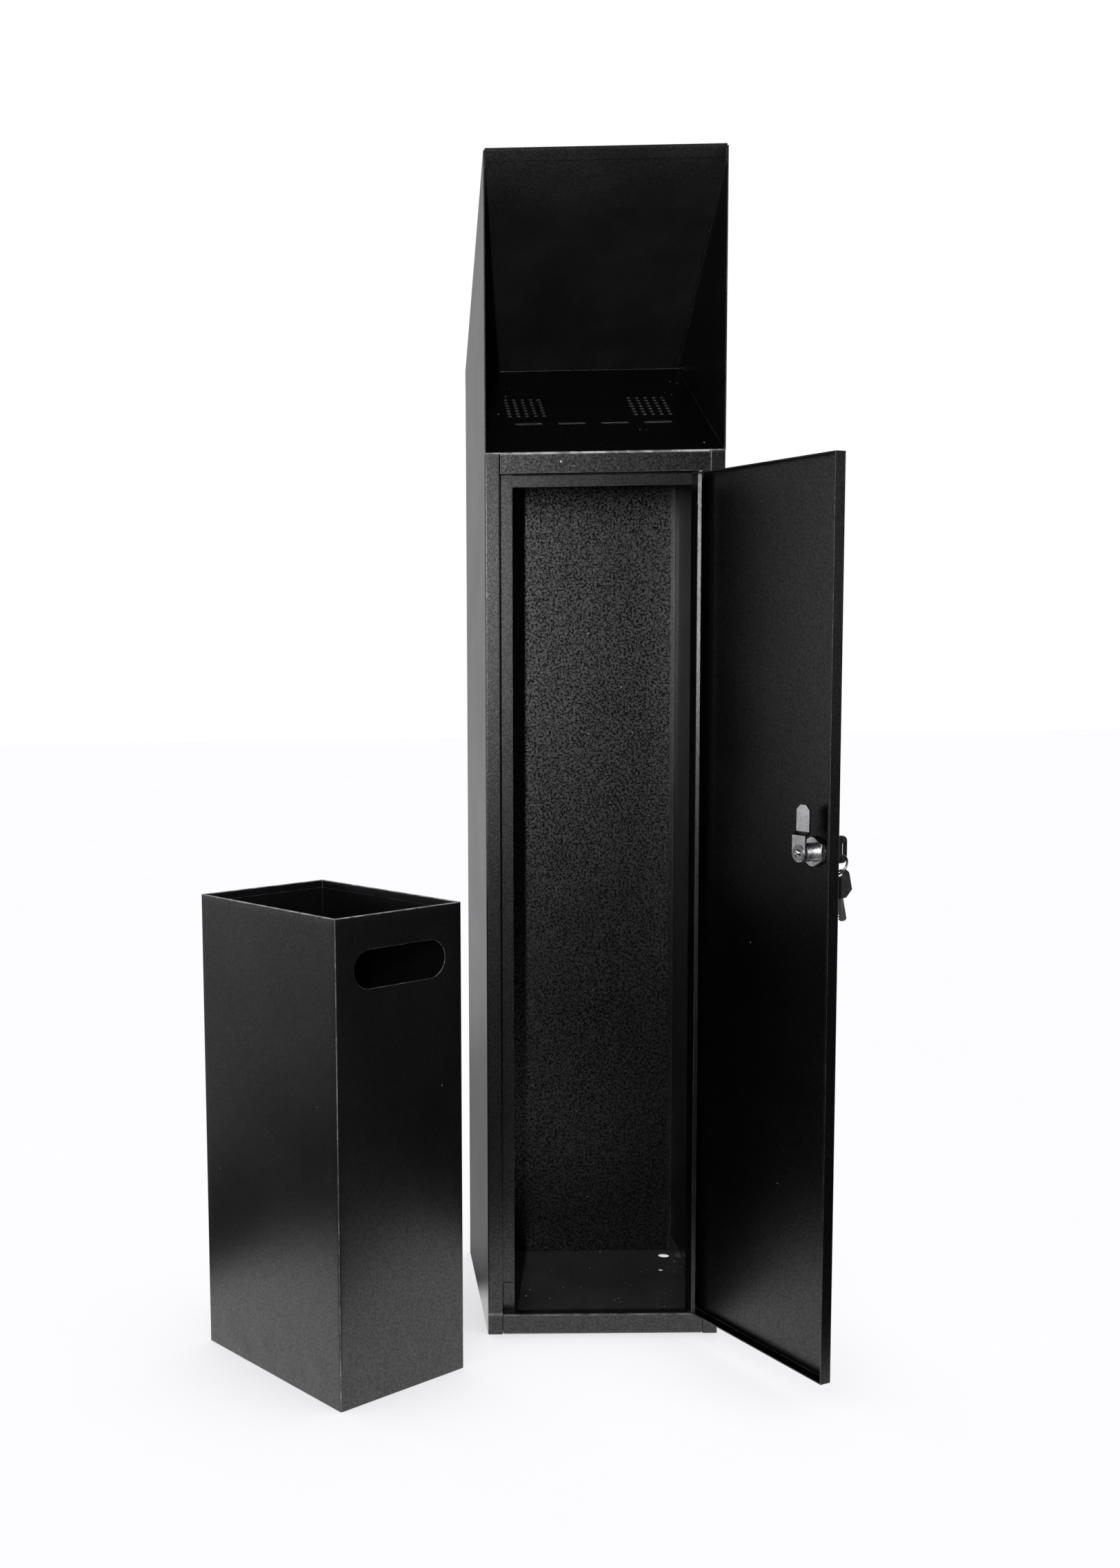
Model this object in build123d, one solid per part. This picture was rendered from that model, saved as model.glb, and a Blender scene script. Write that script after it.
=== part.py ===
from build123d import *
import math
import os

# Ashtray bin: a locker-like sheet metal cabinet with a hooded, perforated ash plate on top,
# a key-locked door and a loose sheet metal liner.
# Millimetres, +Z up, +Y towards the back of the cabinet, +X to the right seen from the front.
# Origin: centre of the cabinet's footprint, on the floor.

os.makedirs("parts", exist_ok=True)

# Sheet metal
SHEET = 1.2
BEND = 1.8
FIT_GAP = 0.1

# Cabinet outside
WIDTH = 250.0
DEPTH = 254.0
FRONT_HEIGHT = 1258.0
REAR_HEIGHT = 1075.0
HALF = WIDTH / 2
FRONT = -DEPTH / 2
REAR = DEPTH / 2
WALL_IN = HALF - SHEET
REAR_FLANGE = 15.0
REAR_FLANGE_DROP = 20.0
HOOD_CHAMFER = 2.0

# Door frame
POST_WIDTH = 16.3
JAMB_DEPTH = 15.0
STOP_WIDTH = 14.0
OPENING_HALF = HALF - POST_WIDTH
STOP_Y = FRONT + JAMB_DEPTH
STOP_X = OPENING_HALF - STOP_WIDTH
STOP_FOOT = 4.0
HEADER_LOW = 930.0
HEADER_STOP_DROP = 13.0
HEADER_LEG = 16.0
BOTTOM_RAIL_TOP = 22.5
BOTTOM_RAIL_LOW = 1.7
TAB_WIDTH = 11.0
TAB_HEIGHT = 25.5
TAB_LOW_Z = 27.5
TAB_HIGH_Z = 901.5

# Base tray, back panel and fixing holes
FLOOR_TOP = SHEET
TRAY_FLANGE_TOP = 19.0
BACK_FACE = REAR - 2 * SHEET
BACK_HALF_WIDTH = 118.3
FIX_HOLE_X = 111.4
FIX_HOLE_REAR_Y = 106.2
FIX_HOLE_FRONT_Y = -86.2
FIX_HOLE_R = 6.75
DRAIN_HOLE_X = 98.6
DRAIN_HOLE_Y = 58.3
DRAIN_HOLE_R = 3.0

# Ash plate
ASH_FRONT_Z = 951.0
ASH_REAR_Z = 1074.3
ASH_REAR_LIP = 14.0
ASH_SIDE_FLANGE = 12.0
POST_TOP = ASH_FRONT_Z - 0.9
HOLE_PITCH = 9.4
HOLE_COLUMNS = 5
HOLE_ROWS = 7
HOLE_R = 1.65
HOLE_INNER_X = 50.2
HOLE_FIRST_ROW = 115.8
SLIT_PITCH = 46.6
SLIT_COUNT = 4
SLIT_LENGTH = 29.2
SLIT_WIDTH = 3.0
SLIT_ROW = 89.6

# Hood roof
ROOF_FRONT_HEM = 11.0
ROOF_REAR_LIP = 16.0
ROOF_SIDE_FLANGE = 14.0
ROOF_FLANGE_BACK = 24.0
ROOF_SLOPE = math.atan2(FRONT_HEIGHT - REAR_HEIGHT, DEPTH)
ASH_SLOPE = math.atan2(ASH_REAR_Z - ASH_FRONT_Z, BACK_FACE - FRONT)

# Door, drawn closed and then swung open about its pivot
DOOR_HALF = 107.5
DOOR_DEPTH = 13.0
DOOR_LOW = 24.6
DOOR_HIGH = 927.4
DOOR_OPEN_DEG = 116.0
DOOR_BEND = 1.5
PIVOT_INSET = 7.0
PIVOT_BACK = 4.5
PIVOT_X = DOOR_HALF - PIVOT_INSET
PIVOT_Y = FRONT + PIVOT_BACK
HINGE_BEND = 3.0
HINGE_LIP = 13.0
HINGE_HEM = 3.8
HINGE_HEM_DEG = 52.5
LATCH_HEM_DEPTH = 7.0
LATCH_HEM_LOW = DOOR_LOW + 38.0
LATCH_HEM_HIGH = DOOR_HIGH - 37.0

# Pivot pins and bushes
PIN_R = 2.0
PIN_HEAD_R = 3.0
PIN_HEAD = 2.0
PIN_REACH = 9.0
PIN_CLEARANCE = 0.05
BUSH_R = 3.1
BUSH_COLLAR_R = 4.2
BUSH_COLLAR = 1.7
BUSH_LENGTH = 4.2

# Cam lock, drawn with its axis along Y and the key at the front
LOCK_X = -76.5
LOCK_Z = 548.5
LOCK_BODY_R = 9.25
LOCK_BODY_LENGTH = 21.0
LOCK_HEAD_R = 11.5
LOCK_HEAD = 3.0
THREAD_PITCH = 1.5
THREAD_DEPTH = 0.45
PLUG_R = 6.0
PLUG_CLEARANCE = 0.05
PLUG_SQUARE = 7.0
NUT_FLATS = 27.0
NUT_THICK = 4.5
LOCK_WASHER_R = 13.0
LOCK_WASHER_THICK = 1.0
CAM_WIDTH = 18.0
CAM_LENGTH = 46.3
CAM_THICK = 2.0
CAM_BLADE_THICK = 1.8
CAM_CRANK_START = 17.0
CAM_CRANK_END = 20.5
CAM_CRANK = 5.0
CAM_TIP_CHAMFER = 5.0
CAM_TIP_CORNER = 2.0
STAR_R = 7.8
STAR_RING_R = 5.0
STAR_TOOTH_R = 2.9
STAR_TOOTH_WIDTH = 1.5
STAR_TOOTH_ROOT = 0.4
STAR_THICK = 0.9
STAR_TEETH = 8
SCREW_HEAD_R = 3.7
SCREW_HEAD = 2.2
SCREW_R = 2.0
RECESS_REACH = 1.9
RECESS_HALF = 0.4
RECESS_DEPTH = 1.1

# Keys and ring
KEY_BLADE_WIDTH = 7.6
KEY_BLADE_THICK = 1.8
KEY_BLADE_LENGTH = 20.0
KEY_NECK = 6.0
BOW_WIDTH = 27.0
BOW_LENGTH = 28.0
BOW_THICK = 5.0
BOW_CORNER = 5.5
BOW_SHOULDER = 7.0
BOW_SLOT_LENGTH = 15.4
BOW_SLOT_WIDTH = 5.0
BOW_SLOT_EDGE = 1.6
RING_R = 10.3
RING_WIRE_R = 1.1
RING_TILT_DEG = 25.0
SPARE_TILT_DEG = -10.0
SPARE_TURN_DEG = -25.0
SPARE_PLAY = 1.15

# Liner, drawn square to the cabinet and then stood beside it
LINER_WIDTH = 165.0
LINER_DEPTH = 229.0
LINER_HEIGHT = 493.0
LINER_SHEET = 1.2
LINER_CORNER = 2.0
LINER_HEM = 8.5
LINER_HEM_THICK = 1.2
LINER_SEAM_WIDTH = 11.0
LINER_GRIP_LENGTH = 119.0
LINER_GRIP_HEIGHT = 39.0
LINER_GRIP_DROP = 54.0
LINER_BASE_FLANGE = 12.0
LINER_BASE_Z = 1.5
LINER_X = -293.8
LINER_Y = -173.3
LINER_TURN_DEG = 38.6


def block(x0, x1, y0, y1, z0, z1):
    """Box between two opposite corners."""
    centre = Location(((x0 + x1) / 2, (y0 + y1) / 2, (z0 + z1) / 2))
    return centre * Box(x1 - x0, y1 - y0, z1 - z0)


def folded(points, length, radius=BEND):
    """Sheet folded along a plan-view path, material on its left, standing up from z=0."""
    path = FilletPolyline(*points, radius=radius)
    outline = offset(path, amount=SHEET, side=Side.LEFT, closed=True)
    return extrude(make_face(outline), length)


def folded_across(points, half_width, radius=BEND):
    """Sheet folded along a side-view (y, z) path, material on its left, running across X."""
    return Plane.YZ.offset(-half_width) * folded(points, 2 * half_width, radius)


def side_plate(points, x0, x1):
    """Flat plate with a side-view (y, z) outline, between two x positions."""
    face = make_face(Polyline(*points, close=True))
    return extrude(Plane.YZ.offset(x0) * face, x1 - x0)


def y_cylinder(radius, y0, y1, x=0.0, z=0.0):
    """Cylinder along Y between two y positions."""
    return Location((x, (y0 + y1) / 2, z), (90, 0, 0)) * Cylinder(radius, y1 - y0)


def z_cylinder(radius, z0, z1, x=0.0, y=0.0):
    """Cylinder along Z between two z positions."""
    return Location((x, y, (z0 + z1) / 2)) * Cylinder(radius, z1 - z0)


def roof_z(y):
    """Height of the roof's top surface."""
    return FRONT_HEIGHT - (y - FRONT) * math.tan(ROOF_SLOPE)


def ash_z(y):
    """Height of the ash plate's top surface."""
    return ASH_FRONT_Z + (y - FRONT) * math.tan(ASH_SLOPE)


def left_side_panel():
    """Wall, hood cheek, rear flange, front post, jamb and door stop in one sheet."""
    stop_end = -STOP_X
    path = [
        (-HALF + REAR_FLANGE, REAR),
        (-HALF, REAR),
        (-HALF, FRONT),
        (-OPENING_HALF, FRONT),
        (-OPENING_HALF, STOP_Y),
        (stop_end, STOP_Y),
    ]
    lower = folded(path, POST_TOP)
    lower -= block(-OPENING_HALF, stop_end + 1, STOP_Y - 1, STOP_Y + 3, -1, STOP_FOOT)
    lower -= block(-OPENING_HALF, stop_end + 1, STOP_Y - 1, STOP_Y + 3, HEADER_LOW - FIT_GAP, POST_TOP + 1)
    flange_top = REAR_HEIGHT - REAR_FLANGE_DROP
    rear_step = REAR - 3
    cheek = side_plate(
        [
            (FRONT, POST_TOP),
            (FRONT, FRONT_HEIGHT - HOOD_CHAMFER),
            (FRONT + HOOD_CHAMFER, roof_z(FRONT + HOOD_CHAMFER)),
            (REAR, REAR_HEIGHT),
            (REAR, flange_top),
            (rear_step, flange_top),
            (rear_step, POST_TOP),
        ],
        -HALF,
        -WALL_IN,
    )
    rear_path = [(-HALF + REAR_FLANGE, REAR), (-HALF, REAR), (-HALF, REAR - 20)]
    rear = Location((0, 0, POST_TOP)) * folded(rear_path, flange_top - POST_TOP)
    return lower + cheek + rear


def back_panel():
    top = roof_z(BACK_FACE + SHEET) - SHEET / math.cos(ROOF_SLOPE) - 0.6
    return block(-BACK_HALF_WIDTH, BACK_HALF_WIDTH, BACK_FACE, BACK_FACE + SHEET, FLOOR_TOP - SHEET, top)


def base_tray():
    """Floor with upturned side edges, a tongue under the bottom rail and fixing holes."""
    low = FLOOR_TOP - SHEET
    edge = WALL_IN - FIT_GAP
    rear = BACK_FACE - FIT_GAP / 2
    front = STOP_Y + SHEET + 0.8
    cross = [(-edge, TRAY_FLANGE_TOP), (-edge, low), (edge, low), (edge, TRAY_FLANGE_TOP)]
    tray = Plane(origin=(0, rear, 0), x_dir=(1, 0, 0), z_dir=(0, -1, 0)) * folded(cross, rear - front)
    tongue_half = OPENING_HALF - 0.7
    tray += block(-tongue_half, tongue_half, FRONT + SHEET + 0.2, front + 1, low, FLOOR_TOP)
    for side in (-1, 1):
        for y in (FIX_HOLE_FRONT_Y, FIX_HOLE_REAR_Y):
            tray -= z_cylinder(FIX_HOLE_R, low - 1, FLOOR_TOP + 1, side * FIX_HOLE_X, y)
        tray -= z_cylinder(DRAIN_HOLE_R, low - 1, FLOOR_TOP + 1, side * DRAIN_HOLE_X, DRAIN_HOLE_Y)
    return tray


def bottom_rail():
    """Channel across the foot of the doorway; it carries the lower pivot pin."""
    back = STOP_Y - FIT_GAP
    path = [
        (back, FLOOR_TOP + FIT_GAP),
        (back, BOTTOM_RAIL_TOP),
        (FRONT, BOTTOM_RAIL_TOP),
        (FRONT, BOTTOM_RAIL_LOW),
    ]
    rail = folded_across(path, OPENING_HALF - FIT_GAP)
    corner = OPENING_HALF - BEND - FIT_GAP
    for side in (-1, 1):
        x0, x1 = sorted((side * corner, side * HALF))
        rail -= block(x0, x1, STOP_Y - BEND - FIT_GAP, STOP_Y, 0, BOTTOM_RAIL_TOP + 1)
    hole = z_cylinder(PIN_R + PIN_CLEARANCE, BOTTOM_RAIL_TOP - 4, BOTTOM_RAIL_TOP + 1, PIVOT_X, PIVOT_Y)
    return rail - hole


def frame_tabs():
    """Two small joint plates on the latch-side door stop, near its top and bottom."""
    x0 = -OPENING_HALF + BEND + 0.3
    y1 = STOP_Y - FIT_GAP / 2
    tabs = []
    for z in (TAB_LOW_Z, TAB_HIGH_Z):
        tabs.append(block(x0, x0 + TAB_WIDTH, y1 - SHEET, y1, z, z + TAB_HEIGHT))
    return Compound(children=tabs)


def ash_plate_cuts():
    """Stub holes and butt slits, drawn on the sloping plate."""
    plate = Plane(origin=(0, FRONT, ASH_FRONT_Z), x_dir=(1, 0, 0),
                  z_dir=(0, -math.sin(ASH_SLOPE), math.cos(ASH_SLOPE)))
    spots = []
    for side in (-1, 1):
        for column in range(HOLE_COLUMNS):
            for row in range(HOLE_ROWS):
                x = side * (HOLE_INNER_X + column * HOLE_PITCH)
                spots.append((x, HOLE_FIRST_ROW + row * HOLE_PITCH))
    holes = Sketch() + [Pos(x, y) * Circle(HOLE_R) for x, y in spots]
    first = -(SLIT_COUNT - 1) / 2 * SLIT_PITCH
    slits = Sketch() + [
        Pos(first + i * SLIT_PITCH, SLIT_ROW) * SlotOverall(SLIT_LENGTH, SLIT_WIDTH)
        for i in range(SLIT_COUNT)
    ]
    return extrude(plate * (holes + slits), 4, both=True)


def ash_plate():
    """Sloping perforated plate with its front folded down as the rail above the door."""
    rear = BACK_FACE - FIT_GAP
    rear_z = ash_z(rear)
    path = [(rear, rear_z - ASH_REAR_LIP), (rear, rear_z), (FRONT, ASH_FRONT_Z), (FRONT, HEADER_LOW)]
    half = WALL_IN - 0.2
    plate = folded_across(path, half)
    thick = SHEET / math.cos(ASH_SLOPE)
    for side in (-1, 1):
        x0, x1 = sorted((side * (OPENING_HALF - FIT_GAP), side * (half + 1)))
        plate -= block(x0, x1, FRONT - 1, FRONT + SHEET + 0.1, HEADER_LOW - 1, ASH_FRONT_Z + 2)
        x0, x1 = sorted((side * (half - SHEET), side * half))
        y0 = STOP_Y + 8
        y1 = rear - 4
        plate += side_plate(
            [
                (y0, ash_z(y0) - thick / 2),
                (y1, ash_z(y1) - thick / 2),
                (y1, ash_z(y1) - ASH_SIDE_FLANGE),
                (y0, ash_z(y0) - ASH_SIDE_FLANGE),
            ],
            x0,
            x1,
        )
    return plate - ash_plate_cuts()


def header_stop():
    """Angle behind the top rail: door head, door stop and upper pivot pin seat."""
    leg = FRONT + SHEET + FIT_GAP / 2
    path = [(leg, HEADER_LOW + HEADER_LEG), (leg, HEADER_LOW), (STOP_Y, HEADER_LOW),
            (STOP_Y, HEADER_LOW - HEADER_STOP_DROP)]
    part = folded_across(path, OPENING_HALF - FIT_GAP)
    for side in (-1, 1):
        x0, x1 = sorted((side * (STOP_X - 0.2), side * (OPENING_HALF + 1)))
        part -= block(x0, x1, STOP_Y - FIT_GAP, STOP_Y + 5, HEADER_LOW - HEADER_STOP_DROP - 1, HEADER_LOW + 3)
        part -= block(x0, x1, STOP_Y - BEND - 1, STOP_Y + 5, HEADER_LOW - HEADER_STOP_DROP - 1, HEADER_LOW)
    notch = PIN_HEAD_R + 1
    part -= block(PIVOT_X - notch, PIVOT_X + notch, FRONT, PIVOT_Y + notch,
                  HEADER_LOW + SHEET, HEADER_LOW + HEADER_LEG + 1)
    part -= z_cylinder(PIN_R + PIN_CLEARANCE, HEADER_LOW - 1, HEADER_LOW + 3, PIVOT_X, PIVOT_Y)
    return part


def hood_roof():
    """Sloping roof with a closed front hem, a rear lip and side flanges inside the cheeks."""
    path = [(REAR, REAR_HEIGHT - ROOF_REAR_LIP), (REAR, REAR_HEIGHT), (FRONT, FRONT_HEIGHT)]
    half = WALL_IN - FIT_GAP
    roof = folded_across(path, half)
    thick = SHEET / math.cos(ROOF_SLOPE)
    drop = ROOF_SIDE_FLANGE / math.cos(ROOF_SLOPE)
    hem_end = FRONT + ROOF_FRONT_HEM
    roof += side_plate(
        [
            (FRONT, roof_z(FRONT) - thick / 2),
            (hem_end, roof_z(hem_end) - thick / 2),
            (hem_end, roof_z(hem_end) - 2 * thick),
            (FRONT, roof_z(FRONT) - 2 * thick),
        ],
        -half,
        half,
    )
    roof -= block(-half - 1, half + 1, FRONT - BEND, FRONT, FRONT_HEIGHT - ROOF_FRONT_HEM, FRONT_HEIGHT + 1)
    y0 = FRONT + 0.3
    y1 = REAR - ROOF_FLANGE_BACK
    for side in (-1, 1):
        x0, x1 = sorted((side * (half - SHEET), side * half))
        roof += side_plate(
            [
                (y0, roof_z(y0) - thick),
                (y1, roof_z(y1) - thick / 2),
                (y1, roof_z(y1) - drop),
                (y0, roof_z(y0) - drop - thick),
            ],
            x0,
            x1,
        )
    return roof


def hinge_pins():
    """Upper and lower pivot pins, fixed in the door head and the bottom rail."""
    top_seat = HEADER_LOW + SHEET
    upper = z_cylinder(PIN_R, HEADER_LOW - PIN_REACH, top_seat, PIVOT_X, PIVOT_Y)
    upper += z_cylinder(PIN_HEAD_R, top_seat, top_seat + PIN_HEAD, PIVOT_X, PIVOT_Y)
    low_seat = BOTTOM_RAIL_TOP - SHEET
    lower = z_cylinder(PIN_R, low_seat, BOTTOM_RAIL_TOP + PIN_REACH, PIVOT_X, PIVOT_Y)
    lower += z_cylinder(PIN_HEAD_R, low_seat - PIN_HEAD, low_seat, PIVOT_X, PIVOT_Y)
    return Compound(children=[upper, lower])


def swing_open(part):
    """Turn a part drawn on the closed door to the door's open rest angle."""
    pivot = Axis((PIVOT_X, PIVOT_Y, 0), (0, 0, 1))
    return part.rotate(pivot, DOOR_OPEN_DEG)


def door_pan():
    """Door skin with returns on all four sides, drawn closed."""
    inner_x = DOOR_HALF - SHEET
    skin_y = FRONT + SHEET
    edge_y = FRONT + DOOR_DEPTH
    low = DOOR_LOW + SHEET
    high = DOOR_HIGH - SHEET
    lip_x = DOOR_HALF - HINGE_LIP
    outer = block(-DOOR_HALF, DOOR_HALF, FRONT, edge_y, DOOR_LOW, DOOR_HIGH)
    outer = fillet(outer.edges().group_by(Axis.Y)[0], DOOR_BEND)
    hinge_corner = outer.edges().filter_by(Axis.Z).group_by(Axis.X)[-1].group_by(Axis.Y)[-1]
    outer = fillet(hinge_corner, HINGE_BEND)
    under_lip = block(lip_x - 1, inner_x, skin_y, edge_y - SHEET, low, high)
    lip_corner = under_lip.edges().filter_by(Axis.Z).group_by(Axis.X)[-1].group_by(Axis.Y)[-1]
    under_lip = fillet(lip_corner, HINGE_BEND - SHEET)
    pan = outer - under_lip - block(-inner_x, lip_x, skin_y, edge_y + 1, low, high)
    slant = math.radians(HINGE_HEM_DEG)
    across = (-HINGE_HEM * math.cos(slant), -HINGE_HEM * math.sin(slant))
    under = (SHEET * math.sin(slant), -SHEET * math.cos(slant))
    nose = Polyline(
        (lip_x, edge_y),
        (lip_x + across[0], edge_y + across[1]),
        (lip_x + across[0] + under[0], edge_y + across[1] + under[1]),
        (lip_x + under[0], edge_y - SHEET),
        close=True,
    )
    pan += Location((0, 0, low)) * extrude(make_face(nose), high - low)
    pan += block(-inner_x - 0.3, -inner_x + SHEET, edge_y - LATCH_HEM_DEPTH, edge_y, LATCH_HEM_LOW, LATCH_HEM_HIGH)
    for z in (DOOR_LOW, DOOR_HIGH - SHEET):
        pan -= z_cylinder(BUSH_R + PIN_CLEARANCE, z - 0.5, z + SHEET + 0.5, PIVOT_X, PIVOT_Y)
    pan -= y_cylinder(LOCK_BODY_R + PLUG_CLEARANCE, FRONT - 1, skin_y + 1, LOCK_X, LOCK_Z)
    return pan


def bush(seat_z, direction):
    """Collared bush in a door return; direction is +1 when its collar points up."""
    collar_end = seat_z + direction * BUSH_COLLAR
    body_end = seat_z - direction * BUSH_LENGTH
    low, high = sorted((seat_z, collar_end))
    part = z_cylinder(BUSH_COLLAR_R, low, high, PIVOT_X, PIVOT_Y)
    low, high = sorted((seat_z, body_end))
    part += z_cylinder(BUSH_R, low, high, PIVOT_X, PIVOT_Y)
    low, high = sorted((collar_end + direction, body_end - direction))
    return part - z_cylinder(PIN_R + PIN_CLEARANCE, low, high, PIVOT_X, PIVOT_Y)


def hinge_bushes():
    return Compound(children=[bush(DOOR_HIGH, 1), bush(DOOR_LOW, -1)])


def lock_housing():
    """Round head outside the door and a threaded body inside it, bored for the plug."""
    head_face = FRONT - LOCK_HEAD
    body_end = FRONT + LOCK_BODY_LENGTH
    head = y_cylinder(LOCK_HEAD_R, head_face, FRONT, LOCK_X, LOCK_Z)
    head = chamfer(head.edges().group_by(Axis.Y)[0], 0.8)
    housing = head + y_cylinder(LOCK_BODY_R, FRONT, body_end, LOCK_X, LOCK_Z)
    thread_start = FRONT + SHEET + LOCK_WASHER_THICK + NUT_THICK + 1.5
    groove_count = int((body_end - 0.8 - thread_start) / THREAD_PITCH)
    for i in range(groove_count):
        y0 = thread_start + i * THREAD_PITCH
        ring = y_cylinder(LOCK_BODY_R + 1, y0, y0 + THREAD_PITCH / 2, LOCK_X, LOCK_Z)
        ring -= y_cylinder(LOCK_BODY_R - THREAD_DEPTH, y0, y0 + THREAD_PITCH / 2, LOCK_X, LOCK_Z)
        housing -= ring
    bore = y_cylinder(PLUG_R + PLUG_CLEARANCE, head_face - 1, body_end + 1, LOCK_X, LOCK_Z)
    return housing - bore


def ring_plate(hole_r, y0, y1, outline):
    """Flat plate on the lock axis with a round hole."""
    body = extrude(Plane(origin=(LOCK_X, y0, LOCK_Z), x_dir=(1, 0, 0), z_dir=(0, 1, 0)) * outline, y1 - y0)
    return body - y_cylinder(hole_r, y0 - 1, y1 + 1, LOCK_X, LOCK_Z)


def lock_nut():
    y0 = FRONT + SHEET + LOCK_WASHER_THICK
    outline = Rot(0, 0, 30) * RegularPolygon(NUT_FLATS / 2, 6, major_radius=False)
    nut = ring_plate(LOCK_BODY_R + PLUG_CLEARANCE, y0, y0 + NUT_THICK, outline)
    corner_r = NUT_FLATS / math.sqrt(3)
    cone = y_cylinder(corner_r - 0.4, y0, y0 + NUT_THICK, LOCK_X, LOCK_Z)
    cone = chamfer(cone.edges().group_by(Axis.Y)[-1], 1.0)
    return nut & cone


def lock_washer():
    y0 = FRONT + SHEET
    return ring_plate(LOCK_BODY_R + PLUG_CLEARANCE, y0, y0 + LOCK_WASHER_THICK, Circle(LOCK_WASHER_R))


def lock_plug():
    """Turning plug: keyway at the front, square drive and screw hole at the back."""
    front = FRONT - LOCK_HEAD + 0.4
    body_end = FRONT + LOCK_BODY_LENGTH + 0.2
    drive_end = body_end + CAM_THICK - 0.2
    plug = y_cylinder(PLUG_R, front, body_end, LOCK_X, LOCK_Z)
    half = PLUG_SQUARE / 2
    plug += block(LOCK_X - half, LOCK_X + half, body_end, drive_end, LOCK_Z - half, LOCK_Z + half)
    slot_x = KEY_BLADE_THICK / 2 + 0.1
    slot_z = KEY_BLADE_WIDTH / 2 + 0.1
    slot_end = front + KEY_BLADE_LENGTH - KEY_NECK / 2 + 1
    plug -= block(LOCK_X - slot_x, LOCK_X + slot_x, front - 1, slot_end, LOCK_Z - slot_z, LOCK_Z + slot_z)
    return plug - y_cylinder(SCREW_R + 0.1, slot_end + 1.2, drive_end + 1, LOCK_X, LOCK_Z)


def lock_cam():
    """Cranked cam, pointing up when the lock is open."""
    y0 = FRONT + LOCK_BODY_LENGTH + 0.2
    y1 = y0 + CAM_THICK
    blade_y1 = y1 - CAM_CRANK
    blade_y0 = blade_y1 - CAM_BLADE_THICK
    crank0 = LOCK_Z + CAM_CRANK_START
    crank1 = LOCK_Z + CAM_CRANK_END
    half = CAM_WIDTH / 2
    low = LOCK_Z - half
    tip = LOCK_Z + CAM_LENGTH
    profile = [
        (y0, low), (y1, low), (y1, crank0), (blade_y1, crank1), (blade_y1, tip),
        (blade_y0, tip), (blade_y0, crank1 - 0.6), (y0, crank0 - 0.6),
    ]
    cam = side_plate(profile, LOCK_X - half, LOCK_X + half)
    outline = Pos(0, (CAM_LENGTH - half) / 2) * Rectangle(CAM_WIDTH, CAM_LENGTH + half)
    outline = chamfer(outline.vertices().group_by(Axis.Y)[-1], CAM_TIP_CHAMFER)
    outline = fillet(outline.vertices().group_by(Axis.Y)[0], half - 0.05)
    outline = fillet(outline.vertices().group_by(Axis.Y)[-1], CAM_TIP_CORNER)
    view = Plane(origin=(LOCK_X, y1 + 1, LOCK_Z), x_dir=(1, 0, 0), z_dir=(0, -1, 0))
    cam = cam & extrude(view * outline, 15)
    hole = PLUG_SQUARE / 2 + 0.05
    return cam - block(LOCK_X - hole, LOCK_X + hole, y0 - 1, y1 + 1, LOCK_Z - hole, LOCK_Z + hole)


def star_washer():
    """Lock washer with teeth pointing inwards, caught under the screw head."""
    y0 = FRONT + LOCK_BODY_LENGTH + 0.2 + CAM_THICK
    y1 = y0 + STAR_THICK
    washer = ring_plate(STAR_RING_R, y0, y1, Circle(STAR_R))
    tooth_middle = (STAR_RING_R + STAR_TOOTH_R) / 2
    tooth = Location((LOCK_X + tooth_middle, (y0 + y1) / 2, LOCK_Z)) * Box(
        STAR_RING_R - STAR_TOOTH_R + STAR_TOOTH_ROOT, STAR_THICK, STAR_TOOTH_WIDTH)
    axis = Axis((LOCK_X, 0, LOCK_Z), (0, 1, 0))
    for i in range(STAR_TEETH):
        washer += tooth.rotate(axis, 360 * i / STAR_TEETH)
    return washer


def cam_screw():
    """Cross-recess screw through the star washer into the plug."""
    seat = FRONT + LOCK_BODY_LENGTH + 0.2 + CAM_THICK + STAR_THICK
    head = y_cylinder(SCREW_HEAD_R, seat, seat + SCREW_HEAD, LOCK_X, LOCK_Z)
    head = fillet(head.edges().group_by(Axis.Y)[-1], 1.5)
    screw = head + y_cylinder(SCREW_R, seat - 4.5, seat + 0.1, LOCK_X, LOCK_Z)
    recess = seat + SCREW_HEAD - RECESS_DEPTH
    for arm_x, arm_z in ((RECESS_REACH, RECESS_HALF), (RECESS_HALF, RECESS_REACH)):
        screw -= block(LOCK_X - arm_x, LOCK_X + arm_x, recess, seat + 5, LOCK_Z - arm_z, LOCK_Z + arm_z)
    return screw


def key_blade():
    """Flat key shank in the vertical keyway, bow end at negative y."""
    inner = FRONT - LOCK_HEAD + 0.4 + KEY_BLADE_LENGTH - KEY_NECK / 2
    outer = FRONT - LOCK_HEAD - KEY_NECK - 6
    half_x = KEY_BLADE_THICK / 2
    half_z = KEY_BLADE_WIDTH / 2
    blade = block(LOCK_X - half_x, LOCK_X + half_x, outer, inner, LOCK_Z - half_z, LOCK_Z + half_z)
    blade = chamfer(blade.edges().filter_by(Axis.X).group_by(Axis.Y)[-1], 1.8)
    for i in range(4):
        y = inner - 3.2 - i * 2.6
        blade -= block(LOCK_X - 1, LOCK_X + 1, y - 1.2, y, LOCK_Z + half_z - 0.8 - 0.3 * (i % 2), LOCK_Z + half_z + 1)
    return blade


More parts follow.
